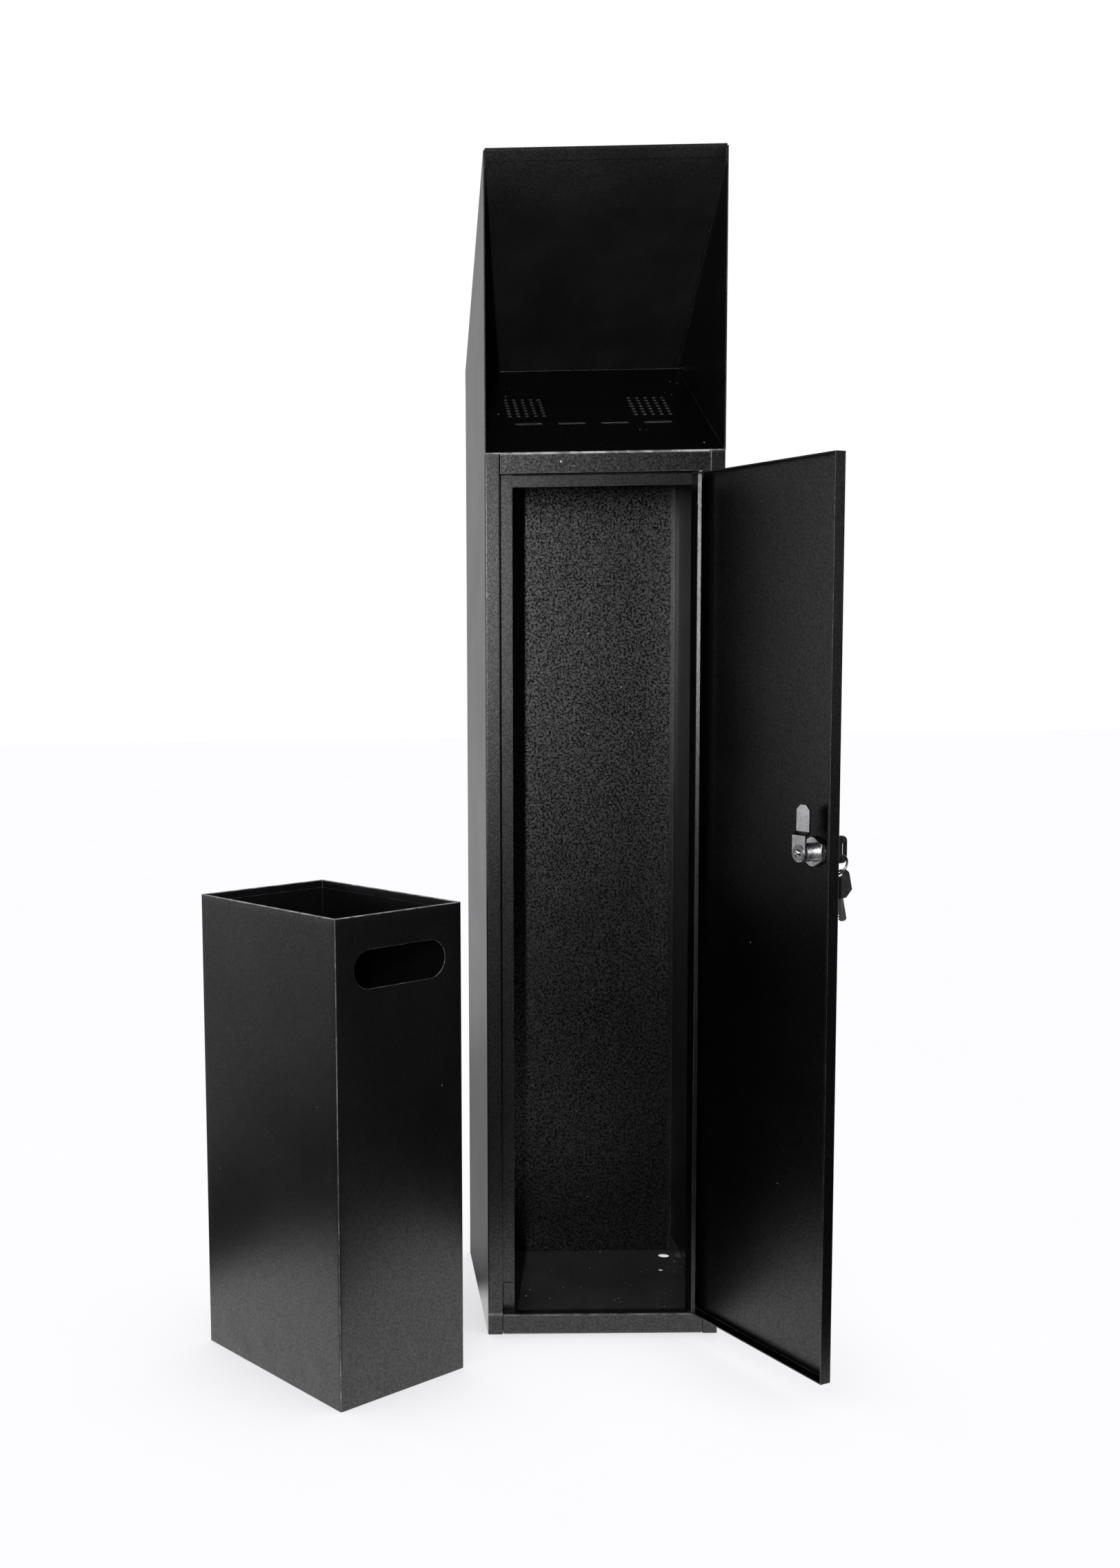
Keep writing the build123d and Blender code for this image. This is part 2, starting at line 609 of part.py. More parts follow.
def key_bow():
    """Plastic bow with a rounded outer end, sloping shoulders and a long slot."""
    near = FRONT - LOCK_HEAD - KEY_NECK + 1
    bow = block(LOCK_X - BOW_THICK / 2, LOCK_X + BOW_THICK / 2, near - BOW_LENGTH, near,
                LOCK_Z - BOW_WIDTH / 2, LOCK_Z + BOW_WIDTH / 2)
    bow = fillet(bow.edges().filter_by(Axis.X).group_by(Axis.Y)[0], BOW_CORNER)
    bow = chamfer(bow.edges().filter_by(Axis.X).group_by(Axis.Y)[-1], BOW_SHOULDER)
    rims = bow.edges().group_by(Axis.X)
    bow = fillet(rims[0] + rims[-1], 1.0)
    slot_y = near - BOW_LENGTH + BOW_SLOT_EDGE + BOW_SLOT_WIDTH / 2
    view = Plane(origin=(LOCK_X, slot_y, LOCK_Z), x_dir=(0, 0, 1), z_dir=(1, 0, 0))
    bow -= extrude(view * SlotOverall(BOW_SLOT_LENGTH, BOW_SLOT_WIDTH), BOW_THICK, both=True)
    half_x = KEY_BLADE_THICK / 2
    half_z = KEY_BLADE_WIDTH / 2
    pocket = FRONT - LOCK_HEAD - KEY_NECK - 6
    return bow - block(LOCK_X - half_x, LOCK_X + half_x, pocket, near + 1, LOCK_Z - half_z, LOCK_Z + half_z)


SLOT_Y = FRONT - LOCK_HEAD - KEY_NECK + 1 - BOW_LENGTH + BOW_SLOT_EDGE + BOW_SLOT_WIDTH / 2
RING_TOP_Z = LOCK_Z - BOW_SLOT_LENGTH / 2 + RING_WIRE_R + 0.8
RING_Z = RING_TOP_Z - RING_R


def split_ring():
    """Wire ring through both key bows, leaning in towards the door at its foot."""
    ring = Location((LOCK_X, SLOT_Y, RING_Z), (90, 0, 0)) * Torus(RING_R, RING_WIRE_R)
    return ring.rotate(Axis((LOCK_X, SLOT_Y, RING_TOP_Z), (1, 0, 0)), RING_TILT_DEG)


def hang_spare(part):
    """Move a key part from the lock to the bottom of the ring, blade down and turned on the wire."""
    slot_axis = Axis((LOCK_X, SLOT_Y, LOCK_Z), (1, 0, 0))
    turned = part.rotate(slot_axis, -90 + SPARE_TILT_DEG)
    down = math.radians(SPARE_TILT_DEG)
    reach = BOW_SLOT_WIDTH / 2 - RING_WIRE_R - SPARE_PLAY
    lean = math.radians(RING_TILT_DEG)
    foot_y = 2 * RING_R * math.sin(lean)
    foot_z = RING_TOP_Z - 2 * RING_R * math.cos(lean)
    shift_y = foot_y + reach * math.sin(down)
    shift_z = foot_z - LOCK_Z - reach * math.cos(down)
    hung = turned.moved(Location((0, shift_y, shift_z)))
    wire = Axis((LOCK_X, SLOT_Y + foot_y, 0), (0, 0, 1))
    return hung.rotate(wire, SPARE_TURN_DEG)


def liner_shell():
    """Rectangular sheet tube with an inward hem, a lapped corner seam and a hand hole."""
    half_w = LINER_WIDTH / 2
    half_d = LINER_DEPTH / 2
    outer = extrude(RectangleRounded(LINER_WIDTH, LINER_DEPTH, LINER_CORNER), LINER_HEIGHT)
    inner_r = LINER_CORNER - LINER_SHEET
    inside = RectangleRounded(LINER_WIDTH - 2 * LINER_SHEET, LINER_DEPTH - 2 * LINER_SHEET, inner_r)
    shell = outer - extrude(Pos(0, 0, -1) * inside, LINER_HEIGHT + 2)
    rim = 2 * (LINER_SHEET + LINER_HEM_THICK)
    hem = extrude(Pos(0, 0, LINER_HEIGHT - LINER_HEM) * inside, LINER_HEM)
    hem -= Location((0, 0, LINER_HEIGHT - LINER_HEM / 2)) * Box(LINER_WIDTH - rim, LINER_DEPTH - rim, LINER_HEM + 2)
    shell += hem
    top_edges = shell.edges().group_by(Axis.Z)[-1]
    shell = fillet(top_edges, 0.5)
    seam_x0 = -half_w + LINER_SHEET - 0.2
    seam_y1 = half_d - LINER_SHEET + 0.2
    seam_top = LINER_HEIGHT - LINER_HEM - 6
    shell += block(seam_x0, seam_x0 + LINER_SEAM_WIDTH, seam_y1 - SHEET, seam_y1, LINER_BASE_Z + 16, seam_top)
    grip = Plane(origin=(0, -half_d, LINER_HEIGHT - LINER_GRIP_DROP), x_dir=(1, 0, 0), z_dir=(0, -1, 0))
    return shell - extrude(grip * SlotOverall(LINER_GRIP_LENGTH, LINER_GRIP_HEIGHT), 5, both=True)


def liner_base():
    """Bottom tray inside the shell, its edges turned up and spot welded to the shell."""
    gap = LINER_SHEET + FIT_GAP
    half_w = LINER_WIDTH / 2 - gap
    half_d = LINER_DEPTH / 2 - gap
    top = LINER_BASE_Z + LINER_BASE_FLANGE
    tray = block(-half_w, half_w, -half_d, half_d, LINER_BASE_Z, top)
    tray = fillet(tray.edges().filter_by(Axis.Z), 0.8)
    inner_w = half_w - SHEET
    inner_d = half_d - SHEET
    return tray - block(-inner_w, inner_w, -inner_d, inner_d, LINER_BASE_Z + SHEET, top + 1)


def stand_beside(part):
    """Move a liner part from the origin to its place beside the cabinet."""
    return Location((LINER_X, LINER_Y, 0), (0, 0, LINER_TURN_DEG)) * part


left = left_side_panel()
parts = {
    "left_side_panel": left,
    "right_side_panel": mirror(left, about=Plane.YZ),
    "back_panel": back_panel(),
    "base_tray": base_tray(),
    "bottom_rail": bottom_rail(),
    "frame_tabs": frame_tabs(),
    "ash_plate": ash_plate(),
    "header_stop": header_stop(),
    "hood_roof": hood_roof(),
    "hinge_pins": hinge_pins(),
    "door_pan": swing_open(door_pan()),
    "hinge_bushes": swing_open(hinge_bushes()),
    "lock_housing": swing_open(lock_housing()),
    "lock_washer": swing_open(lock_washer()),
    "lock_nut": swing_open(lock_nut()),
    "lock_plug": swing_open(lock_plug()),
    "lock_cam": swing_open(lock_cam()),
    "star_washer": swing_open(star_washer()),
    "cam_screw": swing_open(cam_screw()),
    "key_blade": swing_open(key_blade()),
    "key_bow": swing_open(key_bow()),
    "split_ring": swing_open(split_ring()),
    "spare_key_blade": swing_open(hang_spare(key_blade())),
    "spare_key_bow": swing_open(hang_spare(key_bow())),
    "liner_shell": stand_beside(liner_shell()),
    "liner_base": stand_beside(liner_base()),
}

for name, part in parts.items():
    export_step(part, f"parts/{name}.step")
    print(name, len(part.solids()), round(part.volume), part.bounding_box().size)
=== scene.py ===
import math
import random

import bmesh
import bpy
from mathutils import Matrix, Vector

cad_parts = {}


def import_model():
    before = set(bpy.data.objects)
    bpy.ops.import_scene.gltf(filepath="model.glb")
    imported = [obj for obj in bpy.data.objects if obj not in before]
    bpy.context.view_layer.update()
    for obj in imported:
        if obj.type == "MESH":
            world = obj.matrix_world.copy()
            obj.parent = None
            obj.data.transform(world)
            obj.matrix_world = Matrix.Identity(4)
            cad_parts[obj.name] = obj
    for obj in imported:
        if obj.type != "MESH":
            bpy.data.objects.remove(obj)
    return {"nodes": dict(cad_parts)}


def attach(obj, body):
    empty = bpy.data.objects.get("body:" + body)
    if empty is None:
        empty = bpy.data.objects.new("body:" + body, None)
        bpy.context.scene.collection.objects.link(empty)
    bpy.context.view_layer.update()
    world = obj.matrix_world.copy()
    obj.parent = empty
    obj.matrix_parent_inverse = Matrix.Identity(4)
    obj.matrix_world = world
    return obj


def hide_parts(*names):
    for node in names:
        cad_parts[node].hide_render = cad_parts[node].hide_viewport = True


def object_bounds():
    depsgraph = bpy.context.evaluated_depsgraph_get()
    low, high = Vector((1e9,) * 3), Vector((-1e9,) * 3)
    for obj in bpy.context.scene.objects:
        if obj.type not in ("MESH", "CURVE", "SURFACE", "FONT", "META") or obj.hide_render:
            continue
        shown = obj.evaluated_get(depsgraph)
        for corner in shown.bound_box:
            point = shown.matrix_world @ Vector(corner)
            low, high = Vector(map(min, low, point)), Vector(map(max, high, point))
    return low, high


# The looks of the ashtray bin: powder-coated sheet metal, a chromed cam lock with keys, and a
# dented liner, on a pale floor in soft studio light. Metres, in the same frame as the CAD.

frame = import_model()
cad_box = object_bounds()
nodes = frame["nodes"]
random.seed(11)

MM = 0.001

# Camera at the photograph's viewing angle
CAMERA_PLACE = (-0.2806, -1.9047, 0.7509)
CAMERA_YAW = -1.084
CAMERA_PITCH = -5.753
CAMERA_ROLL = -0.861
CAMERA_LENS = 53.93
CAMERA_SENSOR = 36.0
CAMERA_SHIFT = (0.2249, 0.0307)

# Studio: what shiny surfaces see round the object, as brightness by direction
BACKDROP_TONE = 1.0
FLOOR_SIZE = 24.0
SURROUND = 0.03
REAR_GLOW = 0.66
FRONT_GLOW = 0.03
RIGHT_GLOW = 0.8
LEFT_GLOW = 5.0
LEFT_BAND = 0.125
FLOOR_GLOW = 1.35
FLOOR_DARK = 0.05
FLOOR_REAR = 0.35
POOL_SHIFT = (0.255, 1.0, 0.0)
POOL_SCALE = (1.7, 5.0, 1.0)
POOL_EDGE = (1.20, 0.80)
FLOOR_REAR_FROM = (-0.05, 0.2)
FLOOR_FAR_FROM = (0.9, 1.9)
CONTACT_REACH = 0.22
CONTACT_TONES = (0.62, 0.985)

# Where each glow sets in and is full, as parts of the viewing direction
LEFT_FROM_X = (-0.3, -0.7)
LEFT_FROM_Y = (0.38, 0.12)
FRONT_FROM_Y = (-0.2, -0.7)
REAR_FROM_Y = (0.1, 0.6)
REAR_FROM_Z = (-0.32, -0.12)
REAR_LOW_SHARE = 0.3
RIGHT_FROM_X = (0.5, 0.8)
RIGHT_FROM_Y = (-0.15, -0.35)
RIGHT_FROM_Z = (-0.4, -0.2)

# Lamps: place, aim, size and power, and whether shiny surfaces mirror them
TOP_LIGHT = ((0.2, -0.6, 3.0), (0, 0, 0.4), (2.6, 2.6), 30, False)
CAMERA_LIGHT = ((-0.397, -1.9, 0.90), (-0.05, 0, 0.85), (0.025, 0.36), 22, True)

# Ash plate and hood, as built in the CAD
FRONT_Y = -127 * MM
RAIL_TOP_Z = 22.5 * MM
ASH_FRONT_Z = 951 * MM
ASH_SLOPE = math.atan2(123.3, 251.6)
HOOD_SLOPE = math.atan2(183.0, 254.0)
HOOD_FRONT_Z = 1258 * MM
FLANGE_INSIDE = 122.5 * MM
BACK_FACE_Y = 124.6 * MM
HOLE_PITCH = 9.4 * MM
HOLE_COLUMNS = 5
HOLE_ROWS = 7
HOLE_R = 1.65 * MM
HOLE_INNER_X = 50.2 * MM
HOLE_FIRST_ROW = 115.8 * MM
SLIT_PITCH = 46.6 * MM
SLIT_COUNT = 4
SLIT_LENGTH = 29.2 * MM
SLIT_WIDTH = 3.0 * MM
SLIT_ROW = 89.6 * MM

# Rims and weld marks
BEAD_SIDES = 6
RIM_HALF_WIDTH = 0.35 * MM
RIM_HALF_HEIGHT = 0.16 * MM
RIM_OUTSET = 0.6
HOLE_RIM_POINTS = 16
SLIT_RIM_POINTS = 24
HOOD_WELDS = 9
HOOD_WELD_FIRST = 12
HOOD_WELD_STEP = 22.5
HOOD_WELD_DROP = 10.5
HOOD_WELD_SIZE = (2.0 * MM, 0.3 * MM)
BACK_WELDS = 7
BACK_WELD_FIRST = 55
BACK_WELD_STEP = 148
BACK_WELD_X = 114.5 * MM
BACK_WELD_SIZE = (1.9 * MM, 0.3 * MM)
LINER_WELDS = 10
LINER_WELD_FIRST = 44
LINER_WELD_STEP = 44
LINER_WELD_SPOT = (-76, 112.2)
LINER_WELD_HEIGHT = 0.5 * MM

# Liner, as stood beside the cabinet
LINER_PLACE = Vector((-293.8 * MM, -173.3 * MM, 0))
LINER_TURN = math.radians(38.6)
LINER_HALF = (82.5 * MM, 114.5 * MM)
LINER_HEIGHT = 493 * MM
WALL_REACH = 2.6 * MM
DENT_GRID = 9 * MM
LOW_DENTS = 9
SOFT_DENTS = 5


class Shader:
    """A node material under construction, with short helpers for its nodes."""

    def __init__(self, name):
        self.material = bpy.data.materials.new(name)
        self.material.use_nodes = True
        self.tree = self.material.node_tree
        self.surface = self.tree.nodes["Principled BSDF"]
        self.place = self.node("TexCoord").outputs["Object"]

    def put(self, socket, value):
        if isinstance(value, bpy.types.NodeSocket):
            self.tree.links.new(value, socket)
        else:
            socket.default_value = value

    def node(self, kind, inputs=None, **settings):
        made = self.tree.nodes.new("ShaderNode" + kind)
        for key, value in settings.items():
            setattr(made, key, value)
        for key, value in (inputs or {}).items():
            self.put(made.inputs[key], value)
        return made

    def maths(self, operation, a, b=0.0):
        return self.node("Math", {0: a, 1: b}, operation=operation).outputs[0]

    def noise(self, scale, detail=2.0, rough=0.5, place=None):
        made = self.node("TexNoise", {"Vector": place or self.place, "Scale": scale,
                                      "Detail": detail, "Roughness": rough})
        return made.outputs["Fac"]

    def remap(self, value, low, high, to_low=0.0, to_high=1.0):
        made = self.node("MapRange", {0: value, 1: low, 2: high, 3: to_low, 4: to_high},
                         interpolation_type="SMOOTHSTEP")
        return made.outputs[0]

    def blend(self, factor, a, b):
        made = self.node("Mix", {0: factor, 6: a, 7: b}, data_type="RGBA")
        return made.outputs[2]

    def bump(self, height, distance, strength=1.0, normal=None):
        inputs = {"Height": height, "Distance": distance, "Strength": strength}
        if normal is not None:
            inputs["Normal"] = normal
        return self.node("Bump", inputs).outputs["Normal"]

    def surface_is(self, **inputs):
        for key, value in inputs.items():
            self.put(self.surface.inputs[key.replace("_", " ")], value)
        return self.material


def grey(value, alpha=1.0):
    return (value, value, value * 1.02, alpha)


def dust_mask(shader, scale, share):
    """Small round specks, one to a cell, in the given share of the cells."""
    cells = shader.node("TexVoronoi", {"Vector": shader.place, "Scale": scale, "Randomness": 1.0})
    split = shader.node("SeparateColor", {"Color": cells.outputs["Color"]})
    size = shader.maths("MULTIPLY", split.outputs[1], 0.14)
    near = shader.maths("LESS_THAN", cells.outputs["Distance"], size)
    chosen = shader.maths("LESS_THAN", split.outputs[0], share)
    return shader.maths("MULTIPLY", near, chosen)


def powder_coat(name, tone=0.003, rough=0.31, grain=0.0003, grain_scale=650.0, dust=0.02, wave=0.0006,
                shine=0.5, mottle=0.25, edge_wear_highlight_tone=0.03, dust_tone=0.3, fold_highlights=None):
    """Black powder coat: orange-peel grain, mottled sheen, slight waviness, dust, and edges lightened partly as
    rubbed wear and partly as painted highlights.
    """
    shader = Shader(name)
    peel = shader.noise(grain_scale, 2.5, 0.55)
    fine = shader.noise(grain_scale * 3.1, 1.0, 0.5)
    sheen = shader.noise(9.0, 3.0, 0.6)
    ripple = shader.noise(4.0, 1.0, 0.4)
    rub = shader.noise(55.0, 4.0, 0.65)

    edge_normal = shader.node("Bevel", {"Radius": 0.0007}, samples=4).outputs[0]
    true_normal = shader.node("NewGeometry").outputs["Normal"]
    turn = shader.node("VectorMath", {0: edge_normal, 1: true_normal}, operation="DOT_PRODUCT").outputs["Value"]
    edge = shader.remap(turn, 0.99, 0.82)
    if fold_highlights:
        edge = shader.maths("MAXIMUM", edge, fold_highlights(shader))
    # Edge mask with the fold strips, broken up by the rub noise: partly rubbed wear, partly painted highlight.
    wear_highlight_mask = shader.maths("MULTIPLY", edge, shader.remap(rub, 0.42, 0.62, 0.35, 1.0))

    grainy = shader.maths("ADD", shader.maths("MULTIPLY", peel, 0.75), shader.maths("MULTIPLY", fine, 0.25))
    wavy = shader.bump(ripple, wave, 1.0, edge_normal)
    normal = shader.bump(grainy, grain, 1.0, wavy)

    specks = dust_mask(shader, 150.0, dust)
    colour = shader.blend(shader.remap(sheen, 0.3, 0.7), grey(tone * 0.7), grey(tone * 1.3))
    # Painted highlight and wear: the masked edges take the lighter edge tone.
    colour = shader.blend(wear_highlight_mask, colour, grey(edge_wear_highlight_tone))
    colour = shader.blend(specks, colour, grey(dust_tone))
    gloss = shader.remap(sheen, 0.25, 0.75, rough - 0.01, rough + 0.02)
    gloss = shader.maths("ADD", gloss, shader.maths("MULTIPLY", shader.maths("SUBTRACT", fine, 0.5), 0.12))
    gloss = shader.maths("ADD", gloss, shader.maths("MULTIPLY", specks, 0.4))
    spots = shader.noise(400.0, 3.0, 0.75)
    shine = shader.remap(spots, 0.40, 0.60, shine * (1 - mottle), shine * (1 + mottle))
    return shader.surface_is(Base_Color=colour, Roughness=gloss, Normal=normal, Specular_IOR_Level=shine)


def front_fold_highlights(shader):
    """Painted highlight strips along the cabinet's front folds, over the door and at its foot."""
    place = shader.node("NewGeometry").outputs["Position"]
    along = shader.node("SeparateXYZ", {0: place}).outputs
    forward = shader.maths("SUBTRACT", along[1], FRONT_Y)
    mask = 0.0
    for level in (ASH_FRONT_Z, RAIL_TOP_Z):
        apart = shader.maths("ABSOLUTE", shader.maths("SUBTRACT", along[2], level))
        reach = shader.maths("ADD", shader.maths("ABSOLUTE", forward), apart)
        mask = shader.maths("MAXIMUM", mask, shader.remap(reach, 2.4 * MM, 1.0 * MM))
    return mask


def liner_fold_highlights(shader):
    """Painted highlight strips along the liner's rim and its four upright corners."""
    local = shader.node("Mapping", {"Vector": shader.place, "Location": LINER_PLACE,
                                    "Rotation": (0.0, 0.0, LINER_TURN)}, vector_type="TEXTURE").outputs[0]
    along = shader.node("SeparateXYZ", {0: local}).outputs
    mask = shader.remap(along[2], LINER_HEIGHT - 1.0 * MM, LINER_HEIGHT - 0.3 * MM)
    corner = 1.0
    for axis in (0, 1):
        distance = shader.maths("SUBTRACT", LINER_HALF[axis], shader.maths("ABSOLUTE", along[axis]))
        corner = shader.maths("MULTIPLY", corner, shader.remap(distance, 1.3 * MM, 0.6 * MM))
    return shader.maths("MAXIMUM", mask, shader.maths("MULTIPLY", corner, 0.5))


def plated_metal(name, tone, rough, streak=0.0, grain=0.00004):
    """Chrome or zinc plate with faint scratches, a cloudy sheen and small handling marks."""
    shader = Shader(name)
    cloud = shader.noise(60.0, 3.0, 0.6)
    stretched = shader.node("Mapping", {"Vector": shader.place, "Scale": (1.0, 1.0, 0.06)}).outputs[0]
    scratch = shader.noise(5200.0, 2.0, 0.7, stretched)
    pits = shader.noise(1900.0, 3.0, 0.7)
    relief = shader.maths("ADD", shader.maths("MULTIPLY", scratch, streak),
                          shader.maths("MULTIPLY", pits, 1 - streak))
    gloss = shader.remap(cloud, 0.3, 0.7, rough * 0.7, rough * 1.35)
    colour = shader.blend(shader.remap(cloud, 0.35, 0.65), grey(tone * 0.86), grey(tone))
    return shader.surface_is(Base_Color=colour, Metallic=1.0, Roughness=gloss,
                             Normal=shader.bump(relief, grain))


def moulded_plastic(name):
    """Black moulded key-bow plastic with a fine spark-eroded grain and scuffs."""
    shader = Shader(name)
    grain = shader.noise(3500.0, 2.0, 0.6)
    scuff = shader.noise(220.0, 4.0, 0.7)
    colour = shader.blend(shader.remap(scuff, 0.5, 0.75), grey(0.012), grey(0.03))
    gloss = shader.remap(scuff, 0.3, 0.7, 0.38, 0.55)
    return shader.surface_is(Base_Color=colour, Roughness=gloss, Normal=shader.bump(grain, 0.00005))


def paint(material, *names):
    for name in names:
        slots = nodes[name].data.materials
        slots.clear()
        slots.append(material)


def new_piece(name, mesh_data, material, body):
    """Makes an object of a bmesh, gives it a material and rides it on a body."""
    mesh = bpy.data.meshes.new(name)
    mesh_data.to_mesh(mesh)
    mesh_data.free()
    piece = bpy.data.objects.new(name, mesh)
    bpy.context.scene.collection.objects.link(piece)
    mesh.materials.append(material)
    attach(piece, body)
    return piece


# The edge tones below lighten edges partly as wear and partly as painted highlights.
cabinet_coat = powder_coat("cabinet_coat", tone=0.002, grain=0.00012, edge_wear_highlight_tone=0.12, fold_highlights=front_fold_highlights)
back_coat = powder_coat("back_coat", tone=0.002, grain=0.00045, rough=0.28, shine=0.32, mottle=0.9)
tray_coat = powder_coat("tray_coat", tone=0.03, grain=0.0002, dust=0.35, edge_wear_highlight_tone=0.12, dust_tone=0.9)
ash_coat = powder_coat("ash_coat", tone=0.001, grain=0.0002, dust=0.14, shine=0.5, mottle=0.5,
                       edge_wear_highlight_tone=0.45, dust_tone=0.6, fold_highlights=front_fold_highlights)
# Hole and slit rims: the plate's black coat at a far lighter tone, as painted highlights.
rim_highlight_coat = powder_coat("rim_highlight_coat", tone=0.13, grain=0.0001)
# The roof: the same black coat with its tone raised as painted light.
roof_coat_painted_lighter = powder_coat("roof_coat_painted_lighter", tone=0.011, grain=0.0002, mottle=0.5)
# The door: the same black coat with its tone lowered as painted shade.
door_coat_painted_darker = powder_coat("door_coat_painted_darker", tone=0.0006, grain=0.0001, rough=0.28, shine=0.34,
                        edge_wear_highlight_tone=0.14, dust=0.004)
liner_coat = powder_coat("liner_coat", tone=0.003, grain=0.00005, grain_scale=900.0, rough=0.26, dust=0.004,
                         wave=0.0004, edge_wear_highlight_tone=0.4, fold_highlights=liner_fold_highlights)
chrome = plated_metal("lock_chrome", 0.85, 0.10, 0.3)
satin_chrome = plated_metal("satin_chrome", 0.80, 0.26, 0.3)
zinc = plated_metal("zinc_plate", 0.62, 0.24, 0.7)
key_steel = plated_metal("key_nickel", 0.66, 0.20, 0.5)
dull_steel = plated_metal("dull_steel", 0.28, 0.38, 0.5)
key_plastic = moulded_plastic("key_plastic")
nylon = moulded_plastic("black_nylon")

paint(cabinet_coat, "left_side_panel", "right_side_panel", "bottom_rail", "frame_tabs", "header_stop")
paint(back_coat, "back_panel")
paint(tray_coat, "base_tray")
paint(ash_coat, "ash_plate")
paint(roof_coat_painted_lighter, "hood_roof")
paint(door_coat_painted_darker, "door_pan")
paint(liner_coat, "liner_shell", "liner_base")
paint(chrome, "lock_plug", "cam_screw")
paint(satin_chrome, "lock_housing", "lock_nut")
paint(zinc, "lock_cam", "lock_washer")
paint(dull_steel, "hinge_pins", "star_washer")
paint(nylon, "hinge_bushes")
paint(key_steel, "key_blade", "split_ring", "spare_key_blade")
paint(key_plastic, "key_bow", "spare_key_bow")


def ring(mesh_data, path, normal, half_width, half_height):
    """Closed bead with an oval section along a closed flat path."""
    count = len(path)
    loops = []
    for i in range(count):
        along = (path[(i + 1) % count] - path[i - 1]).normalized()
        outward = along.cross(normal)
        loop = []
        for j in range(BEAD_SIDES):
            angle = 2 * math.pi * j / BEAD_SIDES
            spot = path[i] + outward * half_width * math.cos(angle) + normal * half_height * math.sin(angle)
            loop.append(mesh_data.verts.new(spot))
        loops.append(loop)
    for i in range(count):
        here, following = loops[i], loops[(i + 1) % count]
        for j in range(BEAD_SIDES):
            k = (j + 1) % BEAD_SIDES
            face = mesh_data.faces.new((here[j], following[j], following[k], here[k]))
            face.smooth = True


def dome(mesh_data, centre, normal, radius, height):
    """Low closed blob, half sunk in the surface it sits on."""
    turn = Vector((0, 0, 1)).rotation_difference(normal).to_matrix().to_4x4()
    shape = Matrix.Translation(centre) @ turn @ Matrix.Diagonal((radius, radius, height, 1))
    made = bmesh.ops.create_uvsphere(mesh_data, u_segments=12, v_segments=6, radius=1.0, matrix=shape)
    for vert in made["verts"]:
        for face in vert.link_faces:
            face.smooth = True


def plate_point(x, distance):
    """Point on the ash plate, at a distance up its slope from the front edge."""
    return Vector((x, FRONT_Y + distance * math.cos(ASH_SLOPE), ASH_FRONT_Z + distance * math.sin(ASH_SLOPE)))


def hole_rims():
    """The slightly raised rims that punching and coating leave round the holes and slits, coloured far lighter
    than the plate as painted highlights.
    """
    mesh_data = bmesh.new()
    normal = Vector((0, -math.sin(ASH_SLOPE), math.cos(ASH_SLOPE)))
    for side in (-1, 1):
        for column in range(HOLE_COLUMNS):
            for row in range(HOLE_ROWS):
                x = side * (HOLE_INNER_X + column * HOLE_PITCH)
                distance = HOLE_FIRST_ROW + row * HOLE_PITCH
                radius = HOLE_R + RIM_HALF_WIDTH * RIM_OUTSET
                path = []
                for i in range(HOLE_RIM_POINTS):
                    angle = 2 * math.pi * i / HOLE_RIM_POINTS
                    path.append(plate_point(x + radius * math.cos(angle), distance + radius * math.sin(angle)))
                ring(mesh_data, path, normal, RIM_HALF_WIDTH, RIM_HALF_HEIGHT)
    for i in range(SLIT_COUNT):
        x = (i - (SLIT_COUNT - 1) / 2) * SLIT_PITCH
        radius = SLIT_WIDTH / 2 + RIM_HALF_WIDTH * RIM_OUTSET
        straight = (SLIT_LENGTH - SLIT_WIDTH) / 2
        path = []
        for j in range(SLIT_RIM_POINTS):
            angle = 2 * math.pi * (j + 0.5) / SLIT_RIM_POINTS
            shift = math.copysign(straight, math.cos(angle))
            path.append(plate_point(x + shift + radius * math.cos(angle), SLIT_ROW + radius * math.sin(angle)))
        ring(mesh_data, path, normal, RIM_HALF_WIDTH, RIM_HALF_HEIGHT)
    new_piece("ash_hole_rims", mesh_data, rim_highlight_coat, "cabinet")


def cabinet_weld_marks():
    """Small spot weld marks on the roof's side flanges and along the back panel's edges."""
    mesh_data = bmesh.new()
    for side in (-1, 1):
        inward = Vector((-side, 0, 0))
        for i in range(HOOD_WELDS):
            y = FRONT_Y + (HOOD_WELD_FIRST + HOOD_WELD_STEP * i + random.uniform(-1.5, 1.5)) * MM
            drop = (HOOD_WELD_DROP + random.uniform(-0.8, 0.8)) * MM
            z = HOOD_FRONT_Z - (y - FRONT_Y) * math.tan(HOOD_SLOPE) - drop
            dome(mesh_data, Vector((side * FLANGE_INSIDE, y, z)), inward, *HOOD_WELD_SIZE)
        for i in range(BACK_WELDS):
            z = (BACK_WELD_FIRST + BACK_WELD_STEP * i + random.uniform(-4, 4)) * MM
            dome(mesh_data, Vector((side * BACK_WELD_X, BACK_FACE_Y, z)), Vector((0, -1, 0)), *BACK_WELD_SIZE)
    new_piece("cabinet_weld_marks", mesh_data, cabinet_coat, "cabinet")


def liner_place():
    return Matrix.Translation(LINER_PLACE) @ Matrix.Rotation(LINER_TURN, 4, "Z")


